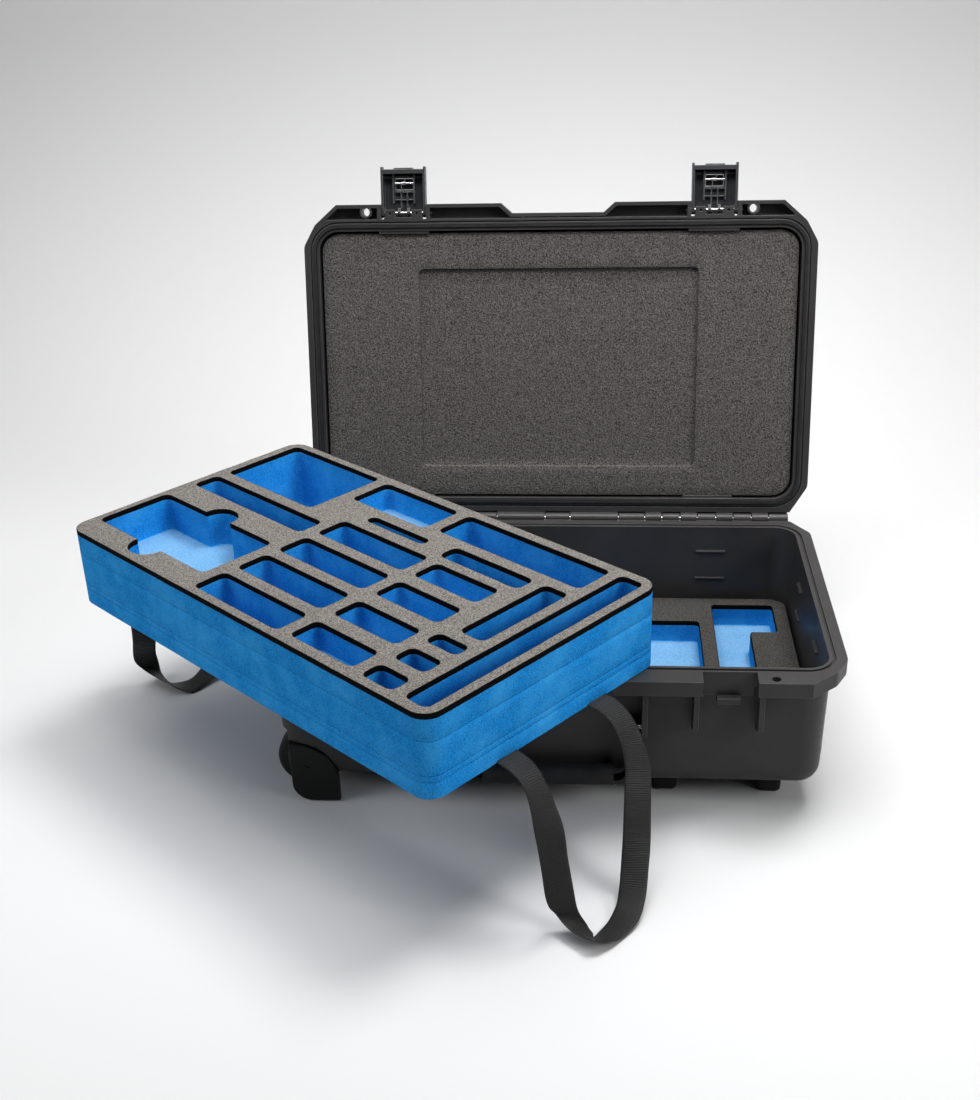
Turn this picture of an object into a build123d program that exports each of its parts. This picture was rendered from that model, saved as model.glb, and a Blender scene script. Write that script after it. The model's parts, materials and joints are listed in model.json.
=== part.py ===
"""Hard equipment case, open, with a foam organiser tray resting across its rim.

Frame: +Z up, floor at Z = 0, X along the case, Y across it (hinge at +Y, latches at -Y).
The origin is under the middle of the case's cavity. All sizes are in millimetres.
"""

from build123d import *
from math import cos, radians, sin
import os

os.makedirs("parts", exist_ok=True)

# ---------------------------------------------------------------- driving dimensions
parting_z = 160.0        # height of the joint between base and lid
cavity_x = 518.0         # opening, along the case
cavity_y = 293.0         # opening, across the case
cavity_r = 22.0
base_depth = 132.0
lid_depth = 51.0
wall = 3.0
draft = 1.5              # degrees, on every moulded wall
rim_half_x = 275.5
rim_reach = 343.5        # hinge axis to the front edge of the rim
flange_h = 15.0
hinge_gap = 7.0          # hinge axis to the rear edge of the rim
open_angle = 102.6       # lid, from closed
lid_gap = 0.4            # left between lid and base when closed
fit = 0.05               # radial clearance of pins that turn

centre_d = 169.0         # hinge axis to the middle of the cavity
hinge_y = centre_d

latch_x = 166.0
latch_half = 24.7        # half width of the notch that takes a latch
latch_pivot_d = 334.5
latch_pivot_z = -9.0
padlock_x = 206.7
padlock_d = 335.5
padlock_r = 4.3

wheel_x = -233.0
wheel_z = 44.0
wheel_r = 32.0
tube_y = 50.0
tube_z = 15.0

handle_y = -158.0
handle_z = 101.0

tray_x = -188.9
tray_y = -85.1
tray_turn = -39.97
tray_length = 516.3
tray_width = 290.6
tray_r = 18.0
tray_lift = 0.3          # tray to rim
strap_b = 57.5           # middle of each webbing, from the tray's long axis
strap_width = 25.0
strap_t = 1.6

# base: local x = -X, y runs from the hinge axis to the front, z up, out of the mouth
BASE = Plane(origin=(0, hinge_y, parting_z), x_dir=(-1, 0, 0), z_dir=(0, 0, 1))
# lid, turned open: the same local frame, z out of the lid's mouth
swing = radians(open_angle)
LID = Plane(origin=(0, hinge_y, parting_z), x_dir=(1, 0, 0), z_dir=(0, -sin(swing), -cos(swing)))
LID_FACE = LID.offset(-lid_gap)
TRAY = Plane(
    origin=(tray_x, tray_y, parting_z + tray_lift),
    x_dir=(cos(radians(tray_turn)), sin(radians(tray_turn)), 0),
    z_dir=(0, 0, 1),
)


def finish(builder, name):
    """Label one finished piece and write its STEP file."""
    builder.part.label = name
    export_step(builder.part, f"parts/{name}.step")


def side_plane(plane, x, y=0.0, z=0.0):
    """A plane across the local x axis: its x is the local y, its y the local z."""
    return Plane(origin=plane.from_local_coords((x, y, z)), x_dir=plane.y_dir, z_dir=plane.x_dir)


# ---------------------------------------------------------------- outlines shared by both shells
def cavity_face(plane, grow=0.0):
    """The rounded rectangle of the mouth, larger by grow on every side."""
    with BuildSketch(plane) as face:
        with Locations((0, centre_d)):
            RectangleRounded(cavity_x + 2 * grow, cavity_y + 2 * grow, cavity_r + grow)
    return face.sketch


def ring_face(plane, inner, outer):
    """The band between two grown outlines of the mouth."""
    with BuildSketch(plane) as face:
        with Locations((0, centre_d)):
            RectangleRounded(cavity_x + 2 * outer, cavity_y + 2 * outer, cavity_r + outer)
            RectangleRounded(
                cavity_x + 2 * inner, cavity_y + 2 * inner, cavity_r + inner, mode=Mode.SUBTRACT
            )
    return face.sketch


def rim_face(plane, notch_d, inset=0.0):
    """The rim's outline: chamfered ears, a dip for the handle and two latch notches."""
    ear_x = 239.0
    dip_x = 49.0
    dip_end_x = 61.0
    dip_d = rim_reach - 10.5
    half = [
        (0, hinge_gap),
        (257, hinge_gap),
        (rim_half_x, 36),
        (rim_half_x, 300),
        (263, 322.5),
        (ear_x, rim_reach),
        (latch_x + latch_half, rim_reach),
        (latch_x + latch_half, notch_d),
        (latch_x - latch_half, notch_d),
        (latch_x - latch_half, rim_reach),
        (dip_end_x, rim_reach),
        (dip_x, dip_d),
        (0, dip_d),
    ]
    with BuildSketch(plane) as face:
        with BuildLine():
            Polyline(*half, close=True)
        make_face()
        mirror(about=Plane.YZ)
        corners = face.vertices().filter_by(lambda v: 30 < abs(v.Y) < 325 and abs(v.X) > 260)
        fillet(corners, radius=14)
        if inset:
            offset(amount=-inset, kind=Kind.INTERSECTION)
    return face.sketch


def channel_face(plane, notch_d, inset, near_d):
    """The hollow behind the rim's front edge, crossed by three thin ribs."""
    rib = 2.0
    with BuildSketch(plane) as face:
        add(plane.to_local_coords(rim_face(plane, notch_d, inset)))
        with Locations((0, near_d / 2)):
            Rectangle(3 * rim_half_x, near_d, mode=Mode.SUBTRACT)
        with Locations((-38, rim_reach), (0, rim_reach), (38, rim_reach)):
            Rectangle(rib, 60, mode=Mode.SUBTRACT)
        with Locations((padlock_x, padlock_d), (-padlock_x, padlock_d)):
            Circle(padlock_r + 2.2, mode=Mode.SUBTRACT)
    return face.sketch


def knuckle_face(plane, x, hole_r):
    """One hinge knuckle from the side: barrel, web and pin hole."""
    barrel_r = 5.5
    with BuildSketch(side_plane(plane, x)) as face:
        Circle(barrel_r)
        with Locations((hinge_gap / 2 + 1, -(barrel_r + lid_gap) / 2)):
            Rectangle(hinge_gap + 2, barrel_r - lid_gap)
        Circle(hole_r, mode=Mode.SUBTRACT)
    return face.sketch


lid_knuckles = [(14.5, 67.5), (98, 116), (137, 155), (176.5, 194.5), (215.5, 233.5)]
base_knuckles = [(68.5, 97), (117, 136), (156, 175.5), (195.5, 214.5), (234.5, 255)]
pin_r = 2.0

# ---------------------------------------------------------------- base shell
well_reach_y = 112.0     # the cavity stops here beside a wheel
well_right_x = -194.0
well_top_z = 82.0
wheel_half_y = (119.0, 139.0)

with BuildPart() as base_cavity:
    extrude(cavity_face(BASE), amount=-base_depth, taper=draft)
    fillet(base_cavity.edges().group_by(Axis.Z)[0], 15)
    for side in (-1, 1):
        with Locations((well_right_x - 60, side * (well_reach_y + 40), well_top_z - 60)):
            Box(120, 80, 120, mode=Mode.SUBTRACT)

with BuildPart() as wheel_well:
    with BuildSketch(Plane.XZ.offset(-141.5)):
        with Locations((wheel_x, wheel_z)):
            Circle(wheel_r + 3)
        with Locations((wheel_x - 40, wheel_z + (wheel_r + 3) / 2 - 40)):
            Rectangle(80, wheel_r + 3 + 80)
        with Locations((wheel_x, wheel_z - 40)):
            Rectangle(2 * (wheel_r + 3), 80)
    extrude(amount=25.5)


def cover_face(plane, grow=0.0):
    """Outline of a wheel cover: an arched top, a straight end and a rounded toe."""
    arch_x = -246.0
    arch_z = 26.0
    arch_r = 41.0
    end_x = -251.0
    toe_r = 19.0
    foot_z = 1.0
    shoulder_z = arch_z + (arch_r**2 - (end_x - arch_x) ** 2) ** 0.5
    crown = (arch_x + arch_r * cos(radians(40)), arch_z + arch_r * sin(radians(40)))
    with BuildSketch(plane) as face:
        with BuildLine():
            ThreePointArc((end_x, shoulder_z), crown, (arch_x + arch_r, arch_z))
            Line((arch_x + arch_r, arch_z), (arch_x + arch_r, foot_z))
            Line((arch_x + arch_r, foot_z), (end_x + toe_r, foot_z))
            RadiusArc((end_x + toe_r, foot_z), (end_x, foot_z + toe_r), toe_r)
            Line((end_x, foot_z + toe_r), (end_x, shoulder_z))
        make_face()
        if grow:
            offset(amount=grow)
    return face.sketch


rib_top_z = parting_z - flange_h
with BuildPart() as base_shell:
    extrude(cavity_face(BASE, wall), amount=-(base_depth + wall), taper=draft)
    fillet(base_shell.edges().group_by(Axis.Z)[0], 20)
    extrude(rim_face(BASE, 324.0), amount=-flange_h)
    # ribs beside the latches and the handle, and on the ends and back
    for side in (-1, 1):
        for x, low_z, out in ((136.5, 93, 24), (195.5, 93, 24), (90, 82, 20)):
            with BuildSketch(Plane.YZ.offset(side * x - 2.5)):
                with BuildLine():
                    Polyline(
                        (-146, rib_top_z + 1), (-146 - out, rib_top_z + 1), (-146 - out, low_z + 12),
                        (-146, low_z), close=True,
                    )
                make_face()
            extrude(amount=5)
        for y in (-90, -45, 45, 90):
            with BuildSketch(Plane.XZ.offset(-y - 2)):
                with BuildLine():
                    Polyline(
                        (side * 258, rib_top_z + 1), (side * 271, rib_top_z + 1),
                        (side * 271, 118), (side * 258, 96), close=True,
                    )
                make_face()
            extrude(amount=4)
        # catch for a latch hook, on a pad below the notch
        with Locations((side * latch_x, -150.5, 147)):
            Box(2 * latch_half - 4, 9, 24)
        with Locations((side * latch_x, -153.5, 132)):
            Box(21, 17, 6)
    # handle lugs
    for x in (-90, 90):
        with BuildSketch(Plane.YZ.offset(x - 2.5)):
            with Locations((handle_y, handle_z)):
                Circle(8)
            with Locations((handle_y + 6, handle_z)):
                Rectangle(12, 16)
        extrude(amount=5)
    # hollow under the rim's front edge, groove for the lid gasket, padlock holes
    extrude(channel_face(BASE.offset(-flange_h), 324.0, 3.0, 322.0), amount=10, mode=Mode.SUBTRACT)
    add(base_cavity.part, mode=Mode.SUBTRACT)
    extrude(ring_face(BASE, 3.0, 6.5), amount=-2.5, mode=Mode.SUBTRACT)
    for side in (-1, 1):
        with Locations(BASE * Location((side * padlock_x, padlock_d, -flange_h / 2))):
            Cylinder(padlock_r, flange_h, mode=Mode.SUBTRACT)
    # wheel wells and the openings that the covers close
    add(wheel_well.part, mode=Mode.SUBTRACT)
    add(wheel_well.part.mirror(Plane.XZ), mode=Mode.SUBTRACT)
    extrude(cover_face(Plane.XZ.offset(141.5), 0.8), amount=30, mode=Mode.SUBTRACT)
    extrude(cover_face(Plane.XZ.offset(-141.5), 0.8), amount=-30, mode=Mode.SUBTRACT)
    axle_holes = [(wheel_x, side * 112, wheel_z) for side in (-1, 1)]
    with Locations(*[Location(p, (90, 0, 0)) for p in axle_holes]):
        Cylinder(4, 10, mode=Mode.SUBTRACT)
    # handle pin holes
    with Locations(Location((0, handle_y, handle_z), (0, 90, 0))):
        Cylinder(2.5, 190, mode=Mode.SUBTRACT)
    # snap ledges inside, for dividers
    for z in (98, 131):
        with Locations((170, 145, z), (-170, 145, z)):
            Box(32, 4, 1.6)
        with Locations((257.5, 60, z), (257.5, -60, z), (-257.5, 60, z), (-257.5, -60, z)):
            Box(4, 24, 1.6)
    # hinge knuckles
    for near_x, far_x in base_knuckles:
        extrude(knuckle_face(BASE, near_x, pin_r), amount=far_x - near_x)
        extrude(knuckle_face(BASE, -far_x, pin_r), amount=far_x - near_x)
    extrude(knuckle_face(BASE, -13.5, pin_r), amount=27)
finish(base_shell, "base_shell")

with BuildPart() as hinge_pin:
    with Locations(Location((0, hinge_y, parting_z), (0, 90, 0))):
        Cylinder(pin_r, 510)
finish(hinge_pin, "hinge_pin")

# ---------------------------------------------------------------- lid
lid_axis = Axis(LID.origin, LID.z_dir)
with BuildPart() as lid_cavity:
    extrude(cavity_face(LID_FACE), amount=-lid_depth, taper=draft)
    fillet(lid_cavity.edges().group_by(lid_axis)[0], 11)

with BuildPart() as lid_shell:
    extrude(cavity_face(LID_FACE, wall), amount=-(lid_depth + wall), taper=draft)
    fillet(lid_shell.edges().group_by(lid_axis)[0], 14)
    # moulded ridges along the lid's back
    for row in range(6):
        with BuildSketch(LID_FACE.offset(-(lid_depth + wall))):
            with Locations((0, centre_d + (row - 2.5) * 40)):
                RectangleRounded(440, 22, 10.5)
        extrude(amount=-9, taper=20)
    extrude(rim_face(LID_FACE, 328.0), amount=-flange_h)
    extrude(channel_face(LID_FACE, 328.0, 3.8, 328.0), amount=-11, mode=Mode.SUBTRACT)
    # strip behind the knuckles that closes the hinge line
    with Locations(LID * Location((0, hinge_gap - 5, -7.2))):
        Box(510, 12, 2)
    add(lid_cavity.part, mode=Mode.SUBTRACT)
    extrude(ring_face(LID_FACE, 3.2, 6.2), amount=-5, mode=Mode.SUBTRACT)
    extrude(ring_face(LID_FACE, 8.4, 9.8), amount=-3, mode=Mode.SUBTRACT)
    for side in (-1, 1):
        with Locations(LID * Location((side * padlock_x, padlock_d, -flange_h / 2))):
            Cylinder(padlock_r, 2 * flange_h, mode=Mode.SUBTRACT)
        # bar and pads in front of each latch's foot
        with Locations(LID * Location((side * latch_x, 327.7, -2.4))):
            Box(42, 4.2, 4)
        for shift in (-14.5, 14.5):
            with Locations(LID * Location((side * latch_x + shift, 332.5, -2.4))):
                Box(11, 11, 4)
            with Locations(LID * Location((side * latch_x + shift, 334, -1))):
                Cylinder(1.4, 3, mode=Mode.SUBTRACT)
        # small tabs that hold the lid foam
        for d in (centre_d - cavity_y / 2 + 1.0, centre_d + cavity_y / 2 - 1.0):
            with Locations(LID * Location((side * latch_x, d, -2.5))):
                Box(54, 4, 2.4)
        # holes for the latch's pivot pin
        with BuildSketch(side_plane(LID, side * latch_x - 31, latch_pivot_d, latch_pivot_z)):
            Circle(1.5)
        extrude(amount=62, mode=Mode.SUBTRACT)
    for near_x, far_x in lid_knuckles:
        extrude(knuckle_face(LID, near_x, pin_r + fit), amount=far_x - near_x)
        extrude(knuckle_face(LID, -far_x, pin_r + fit), amount=far_x - near_x)
finish(lid_shell, "lid_shell")

with BuildPart() as lid_gasket:
    extrude(ring_face(LID.offset(-5.3), 3.5, 5.9), amount=6.7)
finish(lid_gasket, "lid_gasket")

lid_foam_top = -5.0      # foam face, below the lid's mouth
with BuildPart() as lid_foam:
    extrude(cavity_face(LID.offset(lid_foam_top), -1.6), amount=-(lid_depth + lid_foam_top - 1), taper=draft)
    fillet(lid_foam.edges().group_by(lid_axis)[0], 11)
    with BuildSketch(LID.offset(lid_foam_top)):
        with Locations((0, 166)):
            RectangleRounded(302, 217, 5)
    extrude(amount=-4, mode=Mode.SUBTRACT)
finish(lid_foam, "lid_foam")

# ---------------------------------------------------------------- latches
latch_w = 48.0
latch_long = 45.5
skin_z = -9.0            # outer face of a latch, from its pivot
with BuildPart() as latch_pivots:
    for side in (-1, 1):
        with BuildSketch(side_plane(LID, side * latch_x - 30, latch_pivot_d, latch_pivot_z)):
            Circle(1.5)
        extrude(amount=60)
finish(latch_pivots, "latch_pivots")


def latch_plane(side, lift=0.0):
    """Frame of one latch: y from its pivot to its lip, z towards the hollow side."""
    origin = LID.from_local_coords((side * latch_x, latch_pivot_d, latch_pivot_z + lift))
    return Plane(origin=origin, x_dir=LID.x_dir, z_dir=LID.z_dir)


def latch_box(plane, x0, x1, y0, y1, z0, z1, mode=Mode.ADD):
    """A block between two corners of a latch's frame."""
    middle = ((x0 + x1) / 2, (y0 + y1) / 2, (z0 + z1) / 2)
    with Locations(plane * Location(middle)):
        Box(x1 - x0, y1 - y0, z1 - z0, mode=mode)


for side, side_name in ((-1, "left"), (1, "right")):
    frame = latch_plane(side)
    half = latch_w / 2
    with BuildPart() as latch_arm:
        with BuildSketch(side_plane(frame, -half)):
            with BuildLine():
                Polyline(
                    (-5, skin_z),
                    (latch_long, skin_z),
                    (latch_long, 5.5),
                    (-2.5, 5.5),
                    (-5, 3),
                    close=True,
                )
            make_face()
        extrude(amount=latch_w)
        outer = latch_arm.edges().filter_by(lambda e: frame.to_local_coords(e.center()).Z < skin_z + 0.1)
        fillet(outer.filter_by(lambda e: abs(frame.to_local_coords(e.center()).X) > half - 0.1), 1.5)
        latch_box(frame, -half + 2.5, half - 2.5, -6, latch_long - 4.5, skin_z + 2.5, 6, Mode.SUBTRACT)
        # horns and lip on the hook end
        for x in (-half, half - 2):
            latch_box(frame, x, x + 2, latch_long - 1, latch_long + 2.5, skin_z + 1.7, 5.5)
        latch_box(frame, -10, 10, latch_long - 1, latch_long + 1.5, skin_z + 0.5, 3)
        # centre channel and its cells, which also carry the steel pin
        for x in (-12, 10.5):
            latch_box(frame, x, x + 1.5, 10, latch_long - 4.5, skin_z + 2.5, 0.5)
        for y in (13, 21):
            latch_box(frame, -10.5, 10.5, y, y + 1.3, skin_z + 2.5, -3.2)
        for x in (-4, 2.8):
            latch_box(frame, x, x + 1.2, 5, 21, skin_z + 2.5, -3.2)
        latch_box(frame, -half + 2.5, half - 2.5, 36.5, 38, skin_z + 2.5, -1.5)
        # knuckles on the pivot pin
        for x in (-half, -6.5, 3.5, half - 3):
            with BuildSketch(side_plane(frame, x)):
                Circle(4.3)
                with Locations((2.5, -3.5)):
                    Rectangle(5, 7)
            extrude(amount=3)
        with BuildSketch(side_plane(frame, -half - 1)):
            Circle(1.5 + fit)
        extrude(amount=latch_w + 2, mode=Mode.SUBTRACT)
        with BuildSketch(side_plane(frame, -13, 31, -3)):
            Circle(1.2)
        extrude(amount=26, mode=Mode.SUBTRACT)
        # window for the press button
        latch_box(frame, -9.5, 9.5, 24, 36, skin_z - 1, skin_z + 3, Mode.SUBTRACT)
    finish(latch_arm, f"latch_{side_name}")

    with BuildPart() as latch_button:
        latch_box(frame, -9.2, 9.2, 24.3, 35.7, skin_z - 0.6, skin_z + 2.2)
        fillet(latch_button.edges().filter_by(lambda e: e.length > 2.9), 0.5)
    finish(latch_button, f"latch_button_{side_name}")

    with BuildPart() as latch_pin:
        with BuildSketch(side_plane(frame, -12, 31, -3)):
            Circle(1.2)
        extrude(amount=24)
    finish(latch_pin, f"latch_pin_{side_name}")

    with BuildPart() as latch_spring:
        with BuildSketch(side_plane(frame, -3, 31, -3)):
            Circle(2.0)
            Circle(1.2, mode=Mode.SUBTRACT)
        extrude(amount=5)
        latch_box(frame, -3, -2, 23.5, 31, -1.75, -0.95)
        latch_box(frame, 1, 2, 31, 36.2, -1.4, -0.6)
    finish(latch_spring, f"latch_spring_{side_name}")

# ---------------------------------------------------------------- front handle
with BuildPart() as handle_pins:
    for side in (-1, 1):
        with BuildSketch(Plane.YZ.offset(side * 84.5 - 8)):
            with Locations((handle_y, handle_z)):
                Circle(2.5)
        extrude(amount=16)
finish(handle_pins, "handle_pins")

handle_drop = 62.0
with BuildPart() as front_handle:
    with BuildSketch(Plane.XZ.offset(-handle_y - 6)):
        with Locations((0, handle_z - handle_drop / 2 + 3)):
            RectangleRounded(174, handle_drop + 6, 14)
        with Locations((0, handle_z - handle_drop / 2 + 11)):
            RectangleRounded(148, handle_drop + 14, 10, mode=Mode.SUBTRACT)
        with Locations((0, handle_z + 20)):
            Rectangle(200, 28, mode=Mode.SUBTRACT)
    extrude(amount=12)
    with Locations(Location((0, handle_y, handle_z), (0, 90, 0))):
        Cylinder(2.5 + fit, 200, mode=Mode.SUBTRACT)
finish(front_handle, "front_handle")

with BuildPart() as handle_grip:
    with BuildSketch(Plane.YZ.offset(-62)):
        with Locations((handle_y, handle_z - handle_drop + 7.5)):
            RectangleRounded(17, 19, 6)
            Rectangle(12, 15, mode=Mode.SUBTRACT)
    extrude(amount=124)
finish(handle_grip, "handle_grip")

# ---------------------------------------------------------------- foam made of plain blocks
kerf = 0.04              # left between blocks, so that each one is a clean solid


def blocks_between(holes, end, side):
    """The foam round some rectangular holes, as plain blocks that don't overlap."""
    stops = sorted({-end, end, *(hole[0] for hole in holes), *(hole[1] for hole in holes)})
    growing, done = {}, []
    for left, right in zip(stops, stops[1:]):
        near = -side
        spans = []
        for low, high in sorted(hole[2:] for hole in holes if hole[0] < right and hole[1] > left):
            if low > near:
                spans.append((near, low))
            near = max(near, high)
        if near < side:
            spans.append((near, side))
        ended = [span for span in growing if span not in spans]
        done += [(growing.pop(span), left, *span) for span in ended]
        for span in spans:
            growing.setdefault(span, left)
    return done + [(start, end, *span) for span, start in growing.items()]


def foam_blocks(plane, slab, holes, end, side, low, high):
    """One layer of a pocketed foam piece, as blocks kept inside its slab."""
    made = []
    for x0, x1, y0, y1 in blocks_between(holes, end, side):
        with BuildPart() as block:
            with Locations(plane * Location(((x0 + x1) / 2, (y0 + y1) / 2, (low + high) / 2))):
                Box(x1 - x0 - kerf, y1 - y0 - kerf, high - low)
            add(slab, mode=Mode.INTERSECT)
        made += block.part.solids()
    return made


def finish_blocks(blocks, name):
    """Label a layer made of several blocks and write its STEP file."""
    layer = Compound(label=name, children=[Solid(block.wrapped) for block in blocks])
    export_step(layer, f"parts/{name}.step")


# ---------------------------------------------------------------- foam in the base
base_foam_low = parting_z - base_depth + 0.5
base_foam_top = parting_z - 86.5
skin_t = 5.2
pocket_depth = 25.0
base_foam_x = 253.6      # half the length of the bottom foam, and half its width
base_foam_y = 141.2
well_x = -188.6          # the foam stops here beside the wheel wells
well_y = 106.2


def base_foam_pockets(plane):
    """The two pockets of the bottom foam: a block, and a block with a tail."""
    with BuildSketch(plane) as face:
        with Locations((77.5, 9)):
            RectangleRounded(157, 159, 5)
        with BuildLine():
            Polyline(
                (172, 125.6), (238.5, 125.6), (238.5, 67.2), (209.3, 67.2), (209.3, -80), (172, -80),
                close=True,
            )
        make_face()
        fillet(face.vertices().filter_by(lambda v: v.X > 171), 4)
    return face.sketch


def base_foam_block(low_z, high_z):
    """A slab of the bottom foam, cut away beside the wheel wells."""
    with BuildPart() as slab:
        with BuildSketch(Plane.XY.offset(low_z)):
            RectangleRounded(2 * base_foam_x, 2 * base_foam_y, 19)
        extrude(amount=high_z - low_z)
        with Locations((-base_foam_x, base_foam_y, low_z), (-base_foam_x, -base_foam_y, low_z)):
            Box(2 * (well_x + base_foam_x), 2 * (base_foam_y - well_y), 200, mode=Mode.SUBTRACT)
    return slab.part


base_pocket_floor = base_foam_top - pocket_depth
with BuildPart() as bottom_foam_floor:
    add(base_foam_block(base_foam_low, base_pocket_floor))
    fillet(bottom_foam_floor.edges().group_by(Axis.Z)[0].filter_by(lambda e: e.length > 20), 17)
finish(bottom_foam_floor, "bottom_foam_floor")

base_holes = [
    (-1, 156, -70.5, 88.5),
    (172, 209.3, -80, 125.6),
    (209.3, 238.5, 67.2, 125.6),
    (-base_foam_x, well_x, -base_foam_y, -well_y),
    (-base_foam_x, well_x, well_y, base_foam_y),
]
foam_level = (base_pocket_floor, base_foam_top - skin_t)
finish_blocks(
    foam_blocks(Plane.XY, base_foam_block(*foam_level), base_holes, base_foam_x, base_foam_y, *foam_level),
    "bottom_foam",
)

with BuildPart() as bottom_foam_skin:
    add(base_foam_block(base_foam_top - skin_t, base_foam_top))
    extrude(base_foam_pockets(Plane.XY.offset(base_foam_top)), amount=-skin_t, mode=Mode.SUBTRACT)
finish(bottom_foam_skin, "bottom_foam_skin")

# ---------------------------------------------------------------- wheels, covers and feet
for side, end_name in ((-1, "front"), (1, "rear")):
    with BuildPart() as wheel_cover:
        extrude(cover_face(Plane.XZ.offset(142)), amount=7.5)
        fillet(wheel_cover.faces().sort_by(Axis.Y)[0].edges(), 2)
        with Locations(Location((wheel_x, -145, wheel_z), (90, 0, 0))):
            Cylinder(4, 20, mode=Mode.SUBTRACT)
        if side > 0:
            mirror(about=Plane.XZ, mode=Mode.REPLACE)
    finish(wheel_cover, f"wheel_cover_{end_name}")

    mid_y = side * sum(wheel_half_y) / 2
    half_w = (wheel_half_y[1] - wheel_half_y[0]) / 2
    WHEEL = Plane(origin=(wheel_x, mid_y, wheel_z), x_dir=(1, 0, 0), z_dir=(0, 1, 0))
    rim_r = 22.0
    with BuildPart() as wheel_hub:
        with BuildSketch(WHEEL.offset(-half_w)):
            Circle(rim_r)
            Circle(4 + fit, mode=Mode.SUBTRACT)
        extrude(amount=2 * half_w)
        for face_z, amount in ((half_w, -7), (-half_w, 7)):
            with BuildSketch(WHEEL.offset(face_z)):
                Circle(rim_r - 3)
                Circle(8, mode=Mode.SUBTRACT)
                with PolarLocations(0, 5):
                    with Locations((13, 0)):
                        Rectangle(14, 3, mode=Mode.SUBTRACT)
            extrude(amount=amount, mode=Mode.SUBTRACT)
    finish(wheel_hub, f"wheel_hub_{end_name}")

    with BuildPart() as wheel_tyre:
        with BuildSketch(WHEEL.offset(-half_w)):
            Circle(wheel_r)
            Circle(rim_r, mode=Mode.SUBTRACT)
        extrude(amount=2 * half_w)
        fillet(wheel_tyre.edges().filter_by(lambda e: e.length > 180), 4)
    finish(wheel_tyre, f"wheel_tyre_{end_name}")

with BuildPart() as wheel_axles:
    for y in (-148.5, 112.5):
        with BuildSketch(Plane(origin=(wheel_x, y, wheel_z), x_dir=(1, 0, 0), z_dir=(0, 1, 0))):
            Circle(4)
        extrude(amount=36)
finish(wheel_axles, "wheel_axles")

with BuildPart() as feet:
    foot_h = parting_z - base_depth - wall
    for x in (-113, 113, 214):
        for y in (-108, 108):
            with BuildSketch(Plane.XY.offset(foot_h)):
                with Locations((x, y)):
                    RectangleRounded(26, 24, 6)
            extrude(amount=-foot_h, taper=4)
    fillet(feet.edges().group_by(Axis.Z)[0], 4)
finish(feet, "feet")

# ---------------------------------------------------------------- pull handle
channel_x0 = -186.0
channel_x1 = 232.0
channel_half = 68.0
channel_low = 3.0
channel_top = parting_z - base_depth - wall
with BuildPart() as handle_channel:
    with BuildSketch(Plane.XY.offset(channel_top)):
        with Locations(((channel_x0 + channel_x1) / 2, 0)):
            RectangleRounded(channel_x1 - channel_x0, 2 * channel_half, 12)
    extrude(amount=channel_low - channel_top)
    fillet(handle_channel.edges().group_by(Axis.Z)[0], 3)
    with BuildSketch(Plane.XY.offset(channel_top)):
        with Locations(((channel_x0 + channel_x1) / 2, 0)):
            RectangleRounded(channel_x1 - channel_x0 - 5, 2 * channel_half - 5, 9.5)
    extrude(amount=channel_low + 2.5 - channel_top, mode=Mode.SUBTRACT)
    with BuildSketch(Plane.YZ.offset(channel_x1 - 10)):
        with Locations((-tube_y, tube_z), (tube_y, tube_z)):
            Circle(9.5)
    extrude(amount=20, mode=Mode.SUBTRACT)
    # screw bosses
    for x in (-150, 20, 190):
        with Locations((x, 0, (channel_low + channel_top) / 2)):
            Cylinder(5, channel_top - channel_low)
        with Locations((x, 0, (channel_low + channel_top) / 2)):
            Cylinder(2, 40, mode=Mode.SUBTRACT)
        with Locations((x, 0, channel_low + 1)):
            Cylinder(4, 3, mode=Mode.SUBTRACT)
finish(handle_channel, "handle_channel")

with BuildPart() as channel_screws:
    for x in (-150, 20, 190):
        with Locations((x, 0, channel_low + 1.6)):
            Cylinder(3.6, 1.8)
        with Locations((x, 0, channel_low + 10)):
            Cylinder(2, 16)
finish(channel_screws, "channel_screws")


def tube_pair(name, x0, x1, outer_r, inner_r):
    """Two parallel tubes of the pull handle, written as one node."""
    with BuildPart() as tubes:
        with BuildSketch(Plane.YZ.offset(x0)):
            with Locations((-tube_y, tube_z), (tube_y, tube_z)):
                Circle(outer_r)
                Circle(inner_r, mode=Mode.SUBTRACT)
        extrude(amount=x1 - x0)
    finish(tubes, name)


tube_pair("outer_tubes", channel_x0 + 4, 238, 8.0, 7.2)
tube_pair("stage_tubes", channel_x0 + 14, 246, 7.15, 6.3)
tube_pair("tube_collars", channel_x1 - 8, channel_x1 + 4, 9.4, 8.0)

grip_x0 = 252.0
grip_x1 = 272.0
with BuildPart() as grip_tubes:
    with BuildSketch(Plane.YZ.offset(channel_x0 + 24)):
        with Locations((-tube_y, tube_z), (tube_y, tube_z)):
            Circle(6.25)
            Circle(5.0, mode=Mode.SUBTRACT)
    extrude(amount=grip_x0 - channel_x0 - 24)
finish(grip_tubes, "grip_tubes")

with BuildPart() as pull_grip:
    with BuildSketch(Plane.XY.offset(tube_z - 8)):
        with Locations(((grip_x0 + grip_x1) / 2, 0)):
            RectangleRounded(grip_x1 - grip_x0, 140, 9)
    extrude(amount=19)
    fillet(pull_grip.edges().group_by(Axis.Z)[0] + pull_grip.edges().group_by(Axis.Z)[-1], 4)
    with Locations((grip_x1 - 3, 0, tube_z + 1.5)):
        Box(8, 30.4, 9.4, mode=Mode.SUBTRACT)
finish(pull_grip, "pull_grip")

with BuildPart() as release_button:
    with Locations((grip_x1 - 1.5, 0, tube_z + 1.5)):
        Box(5, 30, 9)
    fillet(release_button.edges().filter_by(Axis.X), 2)
finish(release_button, "release_button")

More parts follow.
